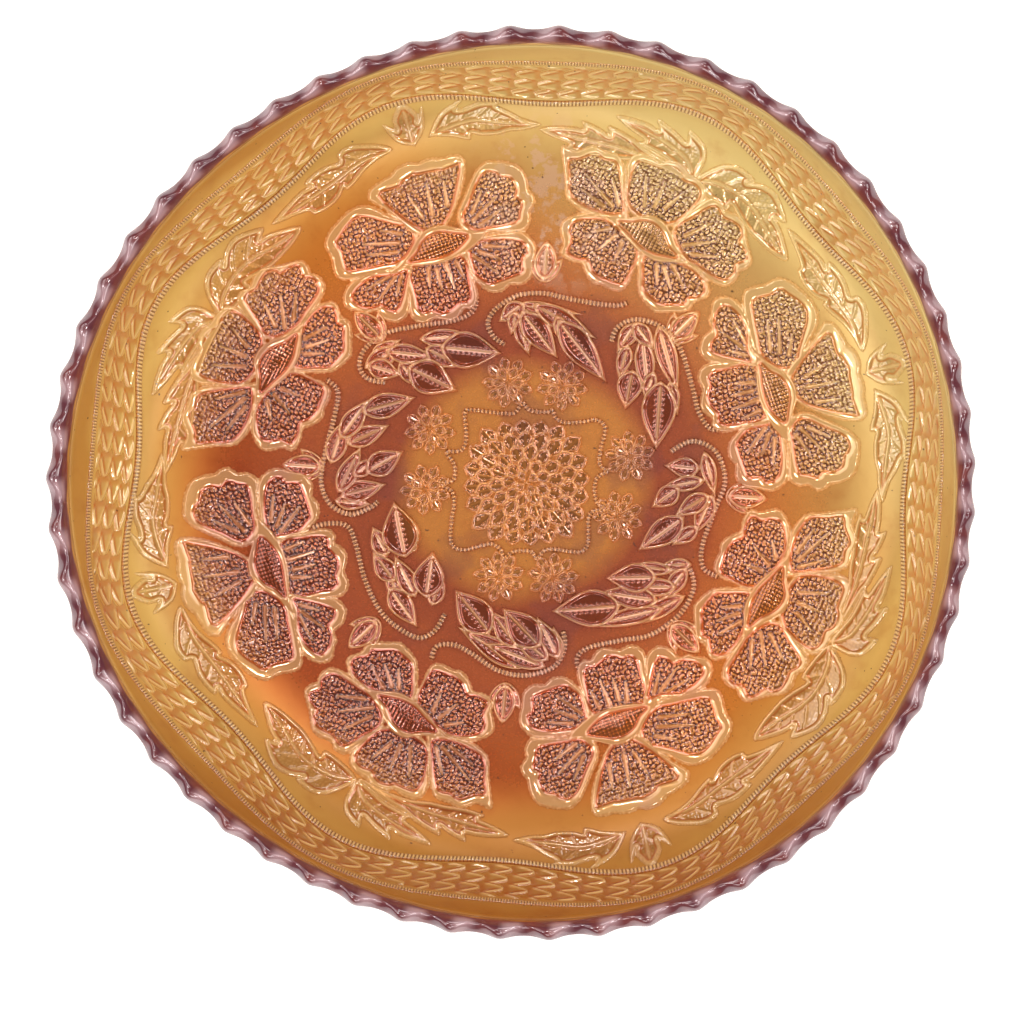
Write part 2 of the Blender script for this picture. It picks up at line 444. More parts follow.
def moulded(low, high, step, shape, cell=5.0):
    """A closed relief cut from a fine sheet. shape(x, y) gives its height in mm, and its tints."""
    bm = bmesh.new()
    wide, tall = high[0] - low[0], high[1] - low[1]
    bmesh.ops.create_grid(bm, x_segments=ceil(wide / step), y_segments=ceil(tall / step), size=0.5)
    bmesh.ops.scale(bm, vec=(wide, tall, 1), verts=bm.verts)
    bmesh.ops.translate(bm, vec=((low[0] + high[0]) / 2, (low[1] + high[1]) / 2, 0), verts=bm.verts)
    at = np.array([v.co[:2] for v in bm.verts])
    height, *tints = shape(at[:, 0], at[:, 1])
    for vert, z in zip(bm.verts, height):
        vert.co.z = z
    tint(bm, tints)
    below = [f for f in bm.faces if min(v.co.z for v in f.verts) < CUT]
    bmesh.ops.delete(bm, geom=below, context="FACES")
    drop_crumbs(bm)
    rim = [e for e in bm.edges if e.is_boundary]
    skirt = bmesh.ops.extrude_edge_only(bm, edges=rim)["geom"]
    for vert in skirt:
        if isinstance(vert, bmesh.types.BMVert):
            vert.co.z = SUNK
    hem = [e for e in skirt if isinstance(e, bmesh.types.BMEdge) and e.is_boundary]
    under = bmesh.ops.triangle_fill(bm, edges=hem, normal=(0, 0, -1))["geom"]
    under = [f for f in under if isinstance(f, bmesh.types.BMFace)]
    cut_up(bm, under, low, high, cell)
    bmesh.ops.recalc_face_normals(bm, faces=bm.faces)
    if sum(f.normal.z * f.calc_area() for f in bm.faces if f.calc_center_median().z > SUNK / 2) < 0:
        bmesh.ops.reverse_faces(bm, faces=bm.faces)
    mesh = bpy.data.meshes.new("moulded")
    bm.to_mesh(mesh)
    bm.free()
    return mesh


def tint(bm, values, names=("crest", "pit", "line")):
    """Stores how much each vertex takes the tint of a crest, a pit or an outline."""
    for name, value in zip(names, values):
        layer = bm.verts.layers.float.new(name)
        for vert, amount in zip(bm.verts, value):
            vert[layer] = amount


def drop_crumbs(bm):
    """Removes islands too small to be part of the design."""
    left = set(bm.faces)
    while left:
        start = left.pop()
        island, edge = {start}, [start]
        while edge:
            face = edge.pop()
            for loop in face.loops:
                near = loop.link_loop_radial_next.face
                if near in left:
                    left.remove(near)
                    island.add(near)
                    edge.append(near)
        if len(island) < 60:
            bmesh.ops.delete(bm, geom=list(island), context="FACES")


def cut_up(bm, faces, low, high, cell):
    """Cuts the underside into cells, so that it can bend with the bowl."""
    for axis in (0, 1):
        at = low[axis] + cell
        while at < high[axis]:
            spot, way = [0, 0, 0], [0, 0, 0]
            spot[axis] = at + 0.037
            way[axis] = 1
            edges = {e for f in faces for e in f.edges}
            verts = {v for f in faces for v in f.verts}
            geom = [*verts, *edges, *faces]
            cut = bmesh.ops.bisect_plane(bm, geom=geom, dist=1e-4, plane_co=spot, plane_no=way)
            faces = [f for f in cut["geom"] if isinstance(f, bmesh.types.BMFace)]
            at += cell
    bmesh.ops.triangulate(bm, faces=faces)


def lay_flat_relief(mesh, angle=None, shift=0.0):
    """A copy of a relief laid on the bowl; with an angle, one drawn standing up is turned there."""
    copy = mesh.copy()
    points = read_points(copy)
    x, y, lift = points[:, 0], points[:, 1] + shift, points[:, 2]
    if angle is not None:
        x, y = y * cos(angle) + x * sin(angle), y * sin(angle) - x * cos(angle)
    write_points(copy, on_wall(x * MM, y * MM, lift * MM))
    keep_ring(copy, np.hypot(x, y) * MM)
    return copy


# ---- Height fields ----------------------------------------------------------------------------


def jittered(x, y, pitch, seed, reach=0.36, long=1.5):
    """Short raised dashes, one in each cell of a loose lattice, pointing all ways."""
    col, row = np.floor(x / pitch), np.floor(y / pitch)
    total = np.zeros(x.shape)
    for i in (-1, 0, 1):
        for j in (-1, 0, 1):
            c, r = col + i, row + j
            toss = [np.modf(np.abs(np.sin(c * a + r * b + seed) * 43758.5453))[0] for a, b in
                    ((12.9898, 78.233), (39.346, 11.135), (73.156, 52.235))]
            dx = x - (c + 0.2 + 0.6 * toss[0]) * pitch
            dy = y - (r + 0.2 + 0.6 * toss[1]) * pitch
            turn = toss[2] * pi
            u = dx * np.cos(turn) + dy * np.sin(turn)
            v = dy * np.cos(turn) - dx * np.sin(turn)
            total = np.maximum(total, np.exp(-((u / (reach * long * pitch)) ** 2 + (v / (reach * pitch)) ** 2)))
    return total


def ridge_of(outer, inner_gap, crest, inside, skirt=0.5, fall=0.6):
    """A rounded margin between an outer edge and an inner edge, both given as distances."""
    up = -0.35 + (crest + 0.35) * smooth((outer + skirt) / (skirt + 0.55))
    down = inside + (crest - inside) * (1 - np.exp(-np.maximum(inner_gap, 0) / fall))
    return np.minimum(up, down)


def flower_shape(petals, eye, ribs, seed):
    k = relief()
    crest, panel, stipple = k.crest / MM, k.panel / MM, k.stipple / MM

    def shape(x, y):
        height = np.full(x.shape, -0.5)
        smooth_part = np.zeros(x.shape)
        in_panel = np.zeros(x.shape)
        line = np.zeros(x.shape)
        skirt_part = np.zeros(x.shape)
        for outline, hollow in petals:
            outer = depth_inside(x, y, curve(pairs(outline), 4, closed=True))
            inner = depth_inside(x, y, curve(pairs(hollow), 4, closed=True))
            here = ridge_of(outer, -inner, crest, panel, skirt=0.85)
            higher = here > height
            height = np.where(higher, here, height)
            in_panel = np.where(higher, smooth(inner / 0.5), in_panel)
            smooth_part = np.where(higher, smooth((outer + 1.2) / 0.8) * smooth(-inner / 0.5), smooth_part)
            line = np.where(higher, np.exp(-(((inner + 0.1) / 0.4) ** 2)), line)
            skirt_part = np.where(higher, np.exp(-(((outer + 0.35) / 0.6) ** 2)), skirt_part)
        dashes = jittered(x, y, 1.2, seed, 0.3, 1.9)
        height = height + in_panel * stipple * (dashes - 0.35)
        pit = in_panel * (np.exp(-(((dashes - 0.3) / 0.2) ** 2)) + 0.25 * (dashes < 0.3))
        smooth_part = smooth_part + in_panel * 0.6 * smooth((dashes - 0.65) / 0.3)
        frill = jittered(x, y, 1.25, seed + 3, 0.3, 1.6) * skirt_part * (1 - in_panel)
        height = height + 0.2 * frill
        smooth_part = smooth_part + 0.7 * frill
        for ax, ay, bx, by in np.array(ribs, float).reshape(-1, 4):
            gap, along, run = along_path(x, y, [(ax, ay), (bx, by)])
            taper = 1 - 0.55 * along / run
            rib = np.exp(-((gap / (0.62 * taper)) ** 2))
            raised = np.maximum(height, panel - 0.15 + (0.75 * taper + 0.1) * rib)
            height = np.where(in_panel > 0, raised, height)
            pit = pit * (1 - rib) + in_panel * 0.7 * np.exp(-(((np.abs(gap) - 1.0 * taper) / 0.25) ** 2))
            smooth_part = np.maximum(smooth_part, rib * 0.5 * (in_panel > 0))
        lid = depth_inside(x, y, curve(pairs(eye[0]), 4, closed=True))
        lens = depth_inside(x, y, curve(pairs(eye[1]), 4, closed=True))
        inside = 0.45 + 0.5 * smooth(lens / 3)
        seeds = np.cos(2 * pi * (x / 2.2 + 0.25 * np.sign(np.cos(pi * y / 0.85)))) * np.cos(pi * (y / 0.85))
        eye_height = ridge_of(lid + 0.2, -lens, crest * 1.12, inside, fall=0.5)
        eye_height = eye_height + 0.2 * smooth(lens / 0.7) * np.abs(seeds)
        over = smooth((lid + 0.1) / 0.45)
        height = height * (1 - over) + eye_height * over
        smooth_part = smooth_part * (1 - over) + over * smooth(-lens / 0.4)
        pit = pit * (1 - over) + over * smooth(lens / 0.5) * (1 - np.abs(seeds)) * 0.8
        line = line * (1 - over) + over * np.exp(-(((lens + 0.1) / 0.35) ** 2))
        return height, smooth_part, pit, line

    return shape


def leaf_field(x, y, outline, midrib, top):
    """A serrated leaf with a raised edge, a strong midrib and slanting side veins."""
    edge = depth_inside(x, y, outline)
    gap, along, run = along_path(x, y, midrib)
    inside = 0.28 + 0.12 * smooth(np.abs(gap) / 3)
    height = ridge_of(edge, 1.5 - edge, top, inside, skirt=0.75, fall=0.5)
    slanted = np.modf((along + 40 - 0.8 * np.abs(gap)) / 4.6)[0]
    vein = np.exp(-(((slanted - 0.5) * 4.6 / 0.42) ** 2)) * smooth((edge - 0.5) / 0.8)
    stem = np.exp(-((gap / (0.55 * (1.1 - 0.6 * along / run))) ** 2))
    height = np.where(edge > 0, np.maximum(height, inside + 0.22 * vein), height)
    height = np.where(edge > 0, np.maximum(height, inside + 0.48 * stem), height)
    crest = smooth((edge + 0.6) / 0.5) * np.clip(smooth((1.3 - edge) / 0.6) + stem + 0.4 * vein, 0, 1)
    line = np.exp(-(((edge - 1.35) / 0.22) ** 2)) + 0.5 * np.exp(-(((np.abs(gap) - 0.75) / 0.2) ** 2)) * (edge > 1)
    grain = jittered(x, y, 0.95, 5.3, 0.3, 1.3) * smooth((edge - 1.4) / 0.5) * (1 - crest)
    return height + 0.09 * grain, crest * 0.7 + 0.2 * grain, 0.3 * smooth(edge / 0.6) * (1 - crest) - 0.2 * grain, np.clip(line, 0, 1)


def lobe_outline(ax, ay, bx, by, half, belly, point, count=15):
    """A lobe from its joint to its tip, widest nearer the tip with a larger belly."""
    t = np.linspace(0, 1, count)
    wide = half * np.sin(pi * t**belly) ** point * (t < 1)
    way = np.array([bx - ax, by - ay])
    across = np.array([-way[1], way[0]]) / np.hypot(*way)
    spine = np.array([ax, ay]) + t[:, None] * way
    return np.vstack([spine + wide[:, None] * across, (spine - wide[:, None] * across)[-2:0:-1]])


def lobes_shape(lobes, top, pitted=True, belly=0.85, rim=0.75, skirt=0.5, point=0.75, shade=0.4, ribbed=0.32):
    """Several lobes, each lying over the ones listed before it."""

    def shape(x, y):
        height = np.full(x.shape, -0.5)
        crest = np.zeros(x.shape)
        pit = np.zeros(x.shape)
        line = np.zeros(x.shape)
        for order, (ax, ay, bx, by, half) in enumerate(lobes):
            edge = depth_inside(x, y, lobe_outline(ax, ay, bx, by, half, belly, point))
            gap, along, run = along_path(x, y, [(ax, ay), (bx, by)])
            reach = min(rim, half * 0.36)
            inside = 0.2 + 0.25 * along / run + 0.1 * smooth(np.abs(gap) / half)
            lie = top + 0.12 * order / len(lobes)
            here = ridge_of(edge, reach * 1.9 - edge, lie, inside, skirt, reach * 0.5)
            rib = np.exp(-((gap / 0.38) ** 2)) * smooth((edge - 0.2) / 0.5)
            dots = np.exp(-(((np.modf(along / 1.5 + 9)[0] - 0.5) * 1.5 / 0.3) ** 2 + ((np.abs(gap) - 1.0) / 0.3) ** 2))
            here = here + ribbed * rib - (0.22 * dots * smooth((edge - 0.9) / 0.4) if pitted else 0)
            inner = smooth((edge - reach * 0.6) / 0.45) * (1 - rib * min(1, ribbed / 0.3))
            over = edge > -0.05
            height = np.where(over, np.maximum(here, np.where(edge < 0.3, height, -1)), np.maximum(height, here))
            crest = np.where(over, (1 - inner) * smooth(edge / 0.25), crest)
            pit = np.where(over, inner * shade, pit)
            line = np.where(over, np.exp(-(((edge - reach * 1.6) / 0.25) ** 2)), line)
        return height, crest, pit, line

    return shape


def petal_ring(centre, count, inner, outer, half, start, squareness=0.0):
    """Lobes pointing away from a centre; on a squarish ring they reach into the corners."""
    lobes = []
    for i in range(count):
        angle = start + 2 * pi * i / count
        square = 1 / max(abs(cos(angle)), abs(sin(angle))) ** squareness
        c, s = cos(angle), sin(angle)
        lobes.append(
            (centre[0] + inner * c, centre[1] + inner * s, centre[0] + outer * square * c,
             centre[1] + outer * square * s, half * (1 + 0.3 * (square - 1)))
        )
    return lobes


def spray_shape(leaves):
    top = relief().leaf / MM

    def shape(x, y):
        height = np.full(x.shape, -0.5)
        crest = np.zeros(x.shape)
        pit = np.zeros(x.shape)
        line = np.zeros(x.shape)
        for outline, midrib in leaves:
            edge = curve(pairs(outline), 3, closed=True)
            found = leaf_field(x, y, edge, curve(pairs(midrib), 4), top)
            over = found[0] > height
            kept = (height, crest, pit, line)
            height, crest, pit, line = (np.where(over, new, old) for new, old in zip(found, kept))
        return height, crest, pit, line

    return shape


# ---- Glass ------------------------------------------------------------------------------------


class Wire:
    """A socket of a shader that takes part in sums: each sign adds its Math node."""

    def __init__(self, board, socket):
        self.board = board
        self.socket = socket

    def math(self, operation, *terms):
        return self.board.node("Math", {"operation": operation}, dict(enumerate(terms)))

    def __add__(self, other):
        return self.math("ADD", self, other)

    def __sub__(self, other):
        return self.math("SUBTRACT", self, other)

    def __rsub__(self, other):
        return self.math("SUBTRACT", other, self)

    def __mul__(self, other):
        return self.math("MULTIPLY", self, other)

    def __truediv__(self, other):
        return self.math("DIVIDE", self, other)

    __radd__ = __add__
    __rmul__ = __mul__

    def between(self, low, high):
        """0 at low, 1 at high and a soft curve between."""
        settings = {"interpolation_type": "SMOOTHSTEP"}
        return self.board.node("MapRange", settings, {0: self, 1: low, 2: high})


class Board:
    """The nodes of one material."""

    def __init__(self, material):
        material.use_nodes = True
        self.tree = material.node_tree
        self.shader = self.tree.nodes["Principled BSDF"]

    def node(self, kind, settings=None, sockets=None, output=0):
        made = self.tree.nodes.new("ShaderNode" + kind)
        for name, value in (settings or {}).items():
            if name == "stops":
                ramp = made.color_ramp
                while len(ramp.elements) < len(value):
                    ramp.elements.new(1)
                for element, (position, tone) in zip(ramp.elements, value):
                    element.position = position
                    element.color = (*tone, 1)
            else:
                setattr(made, name, value)
        for key, value in (sockets or {}).items():
            self.set(made.inputs[key], value)
        return Wire(self, made.outputs[output])

    def set(self, socket, value):
        if isinstance(value, Wire):
            self.tree.links.new(value.socket, socket)
        elif isinstance(value, (tuple, list)) and len(value) == 3 and socket.type == "RGBA":
            socket.default_value = (*value, 1)
        else:
            socket.default_value = value

    def mix(self, share, first, second, blend="MIX"):
        settings = {"data_type": "RGBA", "blend_type": blend}
        return self.node("Mix", settings, {0: share, 6: first, 7: second}, 2)

    def noise(self, where, scale, detail=2.0, rough=0.5):
        return self.node("TexNoise", {}, {"Vector": where, "Scale": scale, "Detail": detail, "Roughness": rough})


def colours():
    return bpy.context.scene.bowl_colours


def film_colour(board, where):
    """The film all over the bowl: rings of colour, paler on one side and richer on the other."""
    tones = colours()
    apart = board.node("SeparateXYZ", {}, {0: where})
    x, y = apart, Wire(board, apart.socket.node.outputs[1])
    radius = board.node("Attribute", {"attribute_name": "ring"}, {}, 2)
    broad = board.noise(where, 18, 3) - 0.5
    wobble = radius + broad * 0.016
    stops = (
        (0.0, tones.centre), (0.21, tones.centre), (0.262, tones.ring), (0.33, tones.ring),
        (0.40, (0.46, 0.095, 0.014)), (0.50, (0.58, 0.15, 0.018)), (0.62, tones.flowers), (0.70, (0.58, 0.25, 0.045)),
        (0.76, tones.side), (0.79, (0.68, 0.40, 0.10)), (0.845, (0.68, 0.40, 0.10)), (0.86, (0.54, 0.26, 0.05)),
    )
    base = board.node("ValToRGB", {"stops": [(p, tuple(c)) for p, c in stops]}, {0: wobble / 0.14})
    pale_way = (x * 0.62 + y * 0.78 + broad * 0.05).between(0.02, 0.125)
    deep_way = (x * -0.8 + y * -0.6 + broad * 0.04).between(0.0, 0.065) * (1 - radius.between(0.08, 0.1))
    warm_way = (y * -1.0 + broad * 0.05).between(0.045, 0.12) * radius.between(0.08, 0.1)
    base = board.mix(pale_way * 0.9 * radius.between(0.03, 0.1), base, tuple(tones.pale))
    base = board.mix(deep_way * 0.95 * radius.between(0.045, 0.06), base, (0.34, 0.055, 0.010))
    base = board.mix(warm_way * 0.8, base, tuple(tones.warm))
    mottle = board.noise(where, 95, 4, 0.6)
    blotch = board.mix(1.0, base, (0.72, 0.45, 0.30), "MULTIPLY")
    base = board.mix(mottle.between(0.5, 0.8) * 0.45, base, blotch)
    purple_way = board.noise(where, 70, 3).between(0.52, 0.66) * (1 - radius.between(0.05, 0.062))
    base = board.mix(purple_way * 0.3, base, (0.15, 0.035, 0.04))
    spot = board.node("VectorMath", {"operation": "DISTANCE"}, {0: where, 1: (0.008, 0.078, 0.012)}, 1)
    clouds = board.noise(where, 150, 4, 0.65).between(0.5, 0.56) * (1 - spot.between(0.012, 0.03))
    base = board.mix(clouds * 0.55, base, (0.72, 0.42, 0.27))
    speck = board.noise(where, 700, 1).between(0.76, 0.79)
    return board.mix(speck * 0.8, base, (0.06, 0.02, 0.012)), radius


def glaze(name, kind):
    """Pressed glass under a metallic film. Relief pieces tint their crests and pits."""
    tones = colours()
    material = bpy.data.materials.new(name)
    board = Board(material)
    where = board.node("TexCoord", {}, {}, 3)
    film, radius = film_colour(board, where)
    rough = tones.roughness
    if kind == "lip":
        crest = board.node("Attribute", {"attribute_name": "crest"}, {}, 2)
        edge = board.noise(where, 160, 3)
        purple = board.node("Attribute", {"attribute_name": "pit"}, {}, 2)
        dyed = board.mix(edge.between(0.35, 0.75), tuple(tones.plum), (0.19, 0.035, 0.03))
        film = board.mix(purple, film, dyed)
        film = board.mix(crest * 0.7, film, (0.55, 0.34, 0.35))
        rough = 0.2
    elif kind == "body":
        film = board.mix((board.noise(where, 40, 3) * 0.004 + radius).between(0.1235, 0.1295), film, tuple(tones.plum))
    elif kind == "relief":
        crest = board.node("Attribute", {"attribute_name": "crest"}, {}, 2)
        pit = board.node("Attribute", {"attribute_name": "pit"}, {}, 2)
        line = board.node("Attribute", {"attribute_name": "line"}, {}, 2)
        dark = board.mix(1.0, film, (0.25, 0.12, 0.06), "MULTIPLY")
        rich = board.mix(1.0, film, (0.90, 0.40, 0.10), "MULTIPLY")
        hue = board.noise(where, 55, 2).between(0.52, 0.72)
        bloom = board.mix(hue * 0.6, tuple(tones.bloom), (0.76, 0.46, 0.38))
        film = board.mix(pit, film, dark)
        outer = radius.between(0.028, 0.045)
        film = board.mix(crest * (outer * 0.22 + 0.12), film, bloom)
        film = board.mix(line * (0.3 + outer * 0.5), film, rich)
        rough = rough - crest * 0.12 - 0.03
    board.set(board.shader.inputs["Base Color"], film)
    grain = board.noise(where, 900, 2)
    rough = grain * 0.08 + rough + radius.between(0.08, 0.105) * 0.12 - 0.04
    board.set(board.shader.inputs["Roughness"], rough)
    metal = 0.65 if kind == "relief" else 0.45
    metal = metal - radius.between(0.085, 0.11) * 0.3
    board.set(board.shader.inputs["Metallic"], metal - crest * 0.3 if kind == "relief" else metal)
    coat = 0.5 - radius.between(0.06, 0.085) * 0.4
    board.set(board.shader.inputs["Coat Weight"], coat if kind == "body" else 1.0)
    board.set(board.shader.inputs["Specular IOR Level"], 0.2)
    board.set(board.shader.inputs["Coat Roughness"], 0.3 if kind == "body" else 0.06)
    board.set(board.shader.inputs["Coat IOR"], 1.7)
    bump = board.noise(where, 420, 3) * 0.6 + board.noise(where, 60, 2)
    normal = board.node("Bump", {}, {"Strength": 0.12, "Distance": 0.0006, "Height": bump})
    board.set(board.shader.inputs["Normal"], normal)
    return material


def finish_of(name, kind):
    return bpy.data.materials.get(name) or glaze(name, kind)


# ---- Operators --------------------------------------------------------------------------------


class BOWL_OT_body(bpy.types.Operator):
    """Spin the body of the bowl and the ring foot under it"""

    bl_idname = "glass_bowl.body"
    bl_label = "Body and Foot"

    def execute(self, context):
        s = sizes()
        top = wall_top()
        shares = np.concatenate([np.linspace(0, 0.55, 24, endpoint=False), np.linspace(0.55, 1, 46)])
        radii = np.concatenate([np.linspace(0, s.floor_radius, 12, endpoint=False), s.floor_radius + (top - s.floor_radius) * shares])
        height, slope = wall(radii)
        thick = s.floor_thickness + (s.wall_thickness - s.floor_thickness) * (radii / top) ** 2
        across = thick / np.sqrt(1 + slope**2)
        inner = list(zip(radii, floor_level() + height))
        outer = list(zip(radii + across * slope, floor_level() + height - across))[::-2]
        if outer[-1][0] > 0:
            outer.append((0, floor_level() - s.floor_thickness))
        edge_in, edge_out = inner[-1], outer[0]
        round_edge = [tuple(np.array(edge_in) * (1 - t) + np.array(edge_out) * t) for t in (0.1, 0.5, 0.9)]
        mesh = turned(inner + round_edge + outer, 288)
        self.warp(mesh)
        into_scene("bowl_glass_body", mesh, finish_of("film_on_body", "body"), "body_glass", "bowl_body")

        soften = 0.2 * min(s.foot_height, s.foot_outer - s.foot_inner)
        foot = [(s.foot_inner, s.foot_height), (s.foot_outer, s.foot_height), (s.foot_outer, soften)]
        foot += [(s.foot_outer - soften * (1 - cos(a)), soften * (1 - sin(a))) for a in np.linspace(0.3, pi / 2, 5)]
        foot += [(s.foot_inner + soften * (1 - sin(a)), soften * (1 - cos(a))) for a in np.linspace(0, 1.3, 5)]
        foot += [(s.foot_inner, soften)]
        mesh = turned(foot, 192, closed=True)
        self.warp(mesh)
        into_scene("bowl_foot_ring", mesh, finish_of("film_on_foot", "body"), "foot_glass", "base_collar")
        return {"FINISHED"}

    def warp(self, mesh):
        points = read_points(mesh)
        angle = np.arctan2(points[:, 1], points[:, 0])
        radius = np.hypot(points[:, 0], points[:, 1])
        points[:, 0], points[:, 1] = out_of_round(radius, angle)
        write_points(mesh, points)
        keep_ring(mesh, radius)


class BOWL_OT_lip(bpy.types.Operator):
    """Spin the lip, bend it outwards and scallop its edge"""

    bl_idname = "glass_bowl.lip"
    bl_label = "Scalloped Lip"

    def execute(self, context):
        s = sizes()
        section = [(t, 0.0) for t in np.linspace(0, 0.86, 9)]
        section += [(0.86 + 0.14 * sin(a), 0.5 - 0.5 * cos(a)) for a in np.linspace(0.3, pi - 0.3, 8)]
        section += [(t, 1.0) for t in np.linspace(0.86, 0, 7)]
        mesh = turned([(1 + share, depth) for share, depth in section], s.scallops * 14, closed=True)
        points = read_points(mesh)
        angle = np.arctan2(points[:, 1], points[:, 0])
        share, depth = np.hypot(points[:, 0], points[:, 1]) - 1, points[:, 2]
        top, slope = wall(wall_top())
        start = atan(slope)
        bend = -s.lip_flare / s.lip_length
        gap = 0.00049
        wave = np.cos(s.scallops * angle - 2 * pi * 0.4)
        reach = s.scallop_depth * (wave - 0.25 * (1 - wave**2))
        run = gap + (s.lip_length - gap) * share + reach * share**2
        tilt = start + bend * run
        radius = wall_top() + (np.sin(tilt) - sin(start)) / bend
        height = floor_level() + top - (np.cos(tilt) - cos(start)) / bend
        swell = 0.00045 * (0.55 + 0.45 * wave) * np.sin(pi * np.clip(share, 0, 1) ** 1.4)
        thick = depth * (s.wall_thickness + (s.lip_thickness - s.wall_thickness) * share) - swell * (1 - depth)
        radius, height = radius + thick * np.sin(tilt), height - thick * np.cos(tilt)
        x, y = out_of_round(radius, angle)
        write_points(mesh, np.stack([x, y, height], axis=1))
        keep_ring(mesh, radius)
        pale = smooth((share - 0.3) / 0.3) * smooth(0.2 + 0.8 * np.sin(s.scallops * angle - 2 * pi * 0.4))
        mesh.attributes.new("crest", "FLOAT", "POINT").data.foreach_set("value", pale * (1 - depth))
        purple = smooth((share - 0.13 + 0.07 * wave) / 0.14 + depth * 5)
        mesh.attributes.new("pit", "FLOAT", "POINT").data.foreach_set("value", purple)
        into_scene("bowl_scalloped_lip", mesh, finish_of("film_on_lip", "lip"), "rim_glass", "scalloped_rim")
        return {"FINISHED"}


FLOOR_GAP = 0.0002  # the floor lies this far under the foot, so the two do not share a plane
EDGE = -0.25


def ring_strip(count, across, shape, under=6):
    """A closed strip round the bowl. shape(angle, share) gives radius and lift in mm, and its tints."""
    bm = bmesh.new()
    bmesh.ops.create_grid(bm, x_segments=count, y_segments=across + under, size=0.5)
    at = np.array([v.co[:2] for v in bm.verts]) + 0.5
    angle, row = at[:, 0] * 2 * pi, at[:, 1] * (across + under)
    beneath = row > across + 0.01
    share = np.where(beneath, 1 - (row - across) / under, row / across)
    radius, lift, *tints = shape(angle, share)
    lift = np.where(beneath, EDGE - 0.12 * np.sin(pi * share), lift)
    place = on_wall(radius * np.cos(angle) * MM, radius * np.sin(angle) * MM, lift * MM)
    for vert, co in zip(bm.verts, place):
        vert.co = co
    tint(bm, (*tints, radius * MM), ("crest", "pit", "line", "ring"))
    bmesh.ops.remove_doubles(bm, verts=bm.verts, dist=2e-6)
    bmesh.ops.recalc_face_normals(bm, faces=bm.faces)
    mesh = bpy.data.meshes.new("strip")
    bm.to_mesh(mesh)
    bm.free()
    return mesh


def waves(angle):
    """-1 to 1, highest beside each flower."""
    turn = np.zeros(angle.shape)
    at = np.radians([a for a, _ in FLOWER_AT] + [FLOWER_AT[0][0] + 360])
    loose = (angle - at[0]) % (2 * pi) + at[0]
    turn = np.interp(loose, at, np.arange(9))
    return np.cos(2 * pi * turn)


class BOWL_OT_bands(bpy.types.Operator):
    """Mould the two wavy beaded lines and the band of scales between them"""

    bl_idname = "glass_bowl.bands"
    bl_label = "Bands"

    def execute(self, context):
        k = relief()

        def line(mean, swing, half, beads, top):
            def shape(angle, share):
                across = share * 2 - 1
                radius = mean + swing * waves(angle) + across * half
                bead = np.abs(np.cos(beads * angle / 2))
                lift = EDGE + (top - EDGE) * np.sqrt(np.clip(1 - across**4, 0, 1)) * (0.62 + 0.38 * bead)
                gap = (1 - bead) ** 0.9
                return radius, lift, bead * (1 - across**2) * 1.4, gap, smooth((np.abs(across) - 0.6) / 0.3)

            return shape

        def scales(angle, share):
            low = 110.1 + 3.4 * waves(angle) + 0.9
            high = 119.6 + 1.6 * waves(angle) - 0.8
            radius = low + (high - low) * share
            tile = np.zeros(angle.shape)
            line = np.zeros(angle.shape)
            groove = np.zeros(angle.shape)
            rest = np.zeros(angle.shape)
            place = angle * 106 / (2 * pi)
            for row in range(4):
                run = (np.ceil(place + 0.13 * row) - place - 0.13 * row) * 6.8
                arm = 1.15 * np.clip(run / 4.6, 0, 1) ** 0.6
                fade = 1 - smooth((run - 4.2) / 1.8)
                across = radius - low - 1.5 - 2.8 * row
                off = arm - np.abs(across)
                tile = np.maximum(tile, (1 - smooth(run / 5.6)) * smooth(off / 0.4 + 0.4))
                line = np.maximum(line, fade * np.exp(-((off / 0.26) ** 2)))
                sides = np.exp(-(((off - 0.5) / 0.28) ** 2)) * (across > 0) + np.exp(-(((off + 0.5) / 0.3) ** 2))
                groove = np.maximum(groove, fade * sides)
                rest = np.maximum(rest, smooth((run - 4.6) / 1.4) * smooth((1.6 - np.abs(across)) / 0.6))
            ends = smooth(share / 0.05) * smooth((1 - share) / 0.05)
            height = (k.scale / MM) * (0.6 * tile + 0.7 * line - 0.25 * groove) + 0.08
            lift = EDGE + (height - EDGE) * ends
            groove = groove * (1 - line) * ends
            orange = np.clip(groove * 1.2 + 0.5 * rest * ends, 0, 1)
            return radius, lift, line * ends * 1.5, groove * 0.35, orange

        relief_glass = finish_of("film_on_bands", "relief")
        mesh = ring_strip(2640, 8, line(110.1, 3.4, 0.9, 660, k.bead / MM * 0.95))
        into_scene("bowl_inner_beads", mesh, relief_glass, "bead_glass", "inner_bead_line")
        mesh = ring_strip(2260, 37, scales)
        into_scene("bowl_scales", mesh, relief_glass, "scale_glass", "scale_band")
        mesh = ring_strip(3600, 7, line(119.6, 1.6, 0.55, 900, k.bead / MM * 0.6))
        into_scene("bowl_outer_beads", mesh, relief_glass, "bead_glass", "outer_bead_line")
        return {"FINISHED"}


class BOWL_OT_flowers(bpy.types.Operator):
    """Mould the eight stippled flowers, two kinds in turn"""

    bl_idname = "glass_bowl.flowers"
    bl_label = "Flowers"

    def execute(self, context):
        kinds = (
            moulded((-32, 52), (31.5, 102), 0.28, flower_shape(SIX_PETALS, SIX_EYE, SIX_RIBS, 1.7)),
            moulded((-35, 55), (30.5, 99.5), 0.28, flower_shape(FIVE_PETALS, FIVE_EYE, FIVE_RIBS, 4.2)),
        )
        for i, (angle, shift) in enumerate(FLOWER_AT):
            mesh = lay_flat_relief(kinds[i % 2], radians(angle), shift)
            glass = finish_of("film_on_flowers", "relief")
            into_scene(f"bowl_flower_{i + 1}", mesh, glass, "flower_glass", f"flower_{i + 1}")
        return {"FINISHED"}


